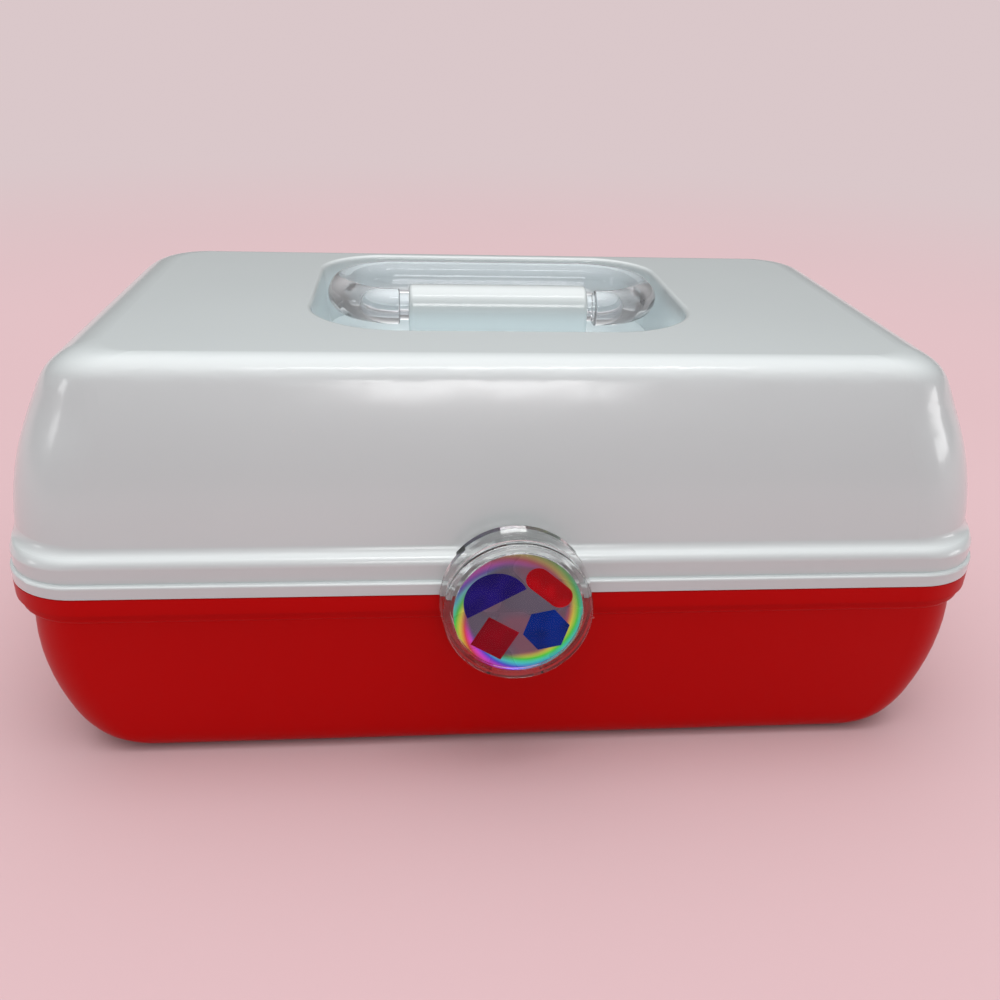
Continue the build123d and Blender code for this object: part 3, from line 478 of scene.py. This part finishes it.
# name, outline, place of its middle on the disc, turn, ink
shapes = (
    ("print_half_disc", half_disc(0.0105), (-0.0068, 0.0030), 0.5, (0.012, 0.006, 0.15)),
    ("print_diamond", polygon(0.0080, 4), (-0.0072, -0.0094), 0.25, (0.28, 0.0, 0.008)),
    ("print_bar", bar(0.0095, 0.0078), (0.0096, 0.0082), -0.7, (0.40, 0.0, 0.004)),
    ("print_hexagon", polygon(0.0076, 6), (0.0092, -0.0066), 0.2, (0.0, 0.02, 0.21)),
)
for name, outline, (middle_x, middle_y), turn, colour in shapes:
    ink, tree, shader = finish(f"{name} ink", IOR=1.5, Specular_IOR_Level=0.05)
    place = node(tree, "ShaderNodeTexCoord").outputs["Object"]
    patchy = node(tree, "ShaderNodeTexNoise",
                  {"Vector": place, "Scale": 110.0, "Detail": 1.0}).outputs[0]
    bright = tuple(min(1.0, brighter_patch * part) for part in colour)
    tree.links.new(tint(tree, remap(tree, patchy, low=0.4, high=0.7), colour, bright),
                   shader.inputs["Base Color"])
    tree.links.new(remap(tree, patchy, low=0.3, high=0.7, to_low=0.28, to_high=0.4),
                   shader.inputs["Roughness"])
    print_mesh = bmesh.new()
    cos_turn, sin_turn = math.cos(turn), math.sin(turn)
    low_ring, high_ring = [], []
    for along, up in outline:
        x = middle_x + along * cos_turn - up * sin_turn
        y = middle_y + along * sin_turn + up * cos_turn
        low_ring.append(print_mesh.verts.new((x, y, print_back)))
        high_ring.append(print_mesh.verts.new((x, y, print_front)))
    print_mesh.faces.new(low_ring)
    print_mesh.faces.new(high_ring)
    for first in range(len(low_ring)):
        second = (first + 1) % len(low_ring)
        print_mesh.faces.new((low_ring[first], low_ring[second], high_ring[second], high_ring[first]))
    settle(name, print_mesh, ink)


# Floor. A wide pale seamless sheet under the case; in the distance its colour gives way to the glow
# of the backdrop, so that no edge shows.
floor_half = 15.0
floor_data = bpy.data.meshes.new("floor")
floor_data.from_pydata(
    [(-floor_half, -floor_half, 0.0), (floor_half, -floor_half, 0.0),
     (floor_half, floor_half, 0.0), (-floor_half, floor_half, 0.0)], [], [(0, 1, 2, 3)])
floor = bpy.data.objects.new("floor", floor_data)
bpy.context.scene.collection.objects.link(floor)
backdrop, black = (0.70, 0.575, 0.59), (0.0, 0.0, 0.0)
sheet_colour, sheet_shade = (0.57, 0.395, 0.415), (0.545, 0.375, 0.395)
glow_starts, glow_full = 0.35, 1.6
floor_paint, tree, shader = finish("pale floor", Roughness=1.0, Specular_IOR_Level=0.0,
                                   Emission_Strength=1.0)
place = node(tree, "ShaderNodeTexCoord").outputs["Object"]
wash = node(tree, "ShaderNodeTexNoise", {"Vector": place, "Scale": 3.0, "Detail": 2.0}).outputs[0]
distance = node(tree, "ShaderNodeVectorMath", {0: place}, operation="LENGTH").outputs["Value"]
far = remap(tree, distance, low=glow_starts, high=glow_full)
near_colour = tint(tree, wash, sheet_colour, sheet_shade)
tree.links.new(tint(tree, far, near_colour, black), shader.inputs["Base Color"])
tree.links.new(tint(tree, far, black, backdrop), shader.inputs["Emission Color"])
floor_data.materials.append(floor_paint)


# Light. A pale surround, brightest overhead and falling to the horizon; a softbox behind the camera,
# whose reflection runs along the front shoulder and the rolled bead; a strip overhead that draws the
# lines on the clear handle; and a low softbox at each side for the corner highlights.
surround_low, surround_rise, surround_fall = 0.18, 2.75, 3.0
scene = bpy.context.scene
world = bpy.data.worlds.new("studio")
scene.world = world
world.use_nodes = True
tree = world.node_tree
tree.nodes.clear()
sky = node(tree, "ShaderNodeTexCoord").outputs["Generated"]
height = node(tree, "ShaderNodeSeparateXYZ", {0: sky}).outputs["Z"]
lift = math_node(tree, "POWER", math_node(tree, "MAXIMUM", height, 0.0), surround_fall)
glow = math_node(tree, "MULTIPLY_ADD", lift, surround_rise, surround_low)
surround = node(tree, "ShaderNodeBackground", {"Color": (1.0, 1.0, 1.0, 1.0), "Strength": glow})
seen = node(tree, "ShaderNodeBackground", {"Color": (*backdrop, 1.0), "Strength": 1.0})
path = node(tree, "ShaderNodeLightPath")
either = node(tree, "ShaderNodeMixShader",
              {0: path.outputs["Is Camera Ray"], 1: surround.outputs[0], 2: seen.outputs[0]})
node(tree, "ShaderNodeOutputWorld", {0: either.outputs[0]})


def softbox(name, spot, target, width, height, power):
    """An area lamp turned to a target."""
    lamp = bpy.data.lights.new(name, "AREA")
    lamp.shape = "RECTANGLE"
    lamp.size = width
    lamp.size_y = height
    lamp.energy = power
    holder = bpy.data.objects.new(name, lamp)
    bpy.context.scene.collection.objects.link(holder)
    holder.location = spot
    holder.rotation_euler = (Vector(target) - Vector(spot)).to_track_quat("-Z", "Y").to_euler()


lid_middle, lid_right, lid_left = (0.0, 0.0, 0.12), (0.15, -0.1, 0.12), (-0.15, -0.1, 0.12)
softbox("front softbox", (0.14, -2.20, 1.16), lid_middle, width=0.74, height=0.48, power=7.0)
softbox("overhead strip", (0.17, -0.52, 2.04), lid_middle, width=1.2, height=0.15, power=3.4)
softbox("right softbox", (2.10, -0.62, 0.36), lid_right, width=0.85, height=0.20, power=2.1)
softbox("left softbox", (-2.12, -0.55, 0.64), lid_left, width=0.40, height=0.30, power=1.2)


# Camera, where the photograph was taken from: slightly left of the middle, looking down on the lid.
camera_data = bpy.data.cameras.new("camera")
camera_data.sensor_width = 36.0
camera_data.lens = 34.40
camera = bpy.data.objects.new("camera", camera_data)
bpy.context.scene.collection.objects.link(camera)
camera.matrix_world = Matrix((
    (0.996189, 0.007798, -0.086875, -0.03162),
    (-0.081170, 0.447476, -0.890604, -0.36232),
    (0.031930, 0.894262, 0.446404, 0.23289),
    (0.0, 0.0, 0.0, 1.0),
))
scene.camera = camera
scene.view_settings.view_transform = "Standard"
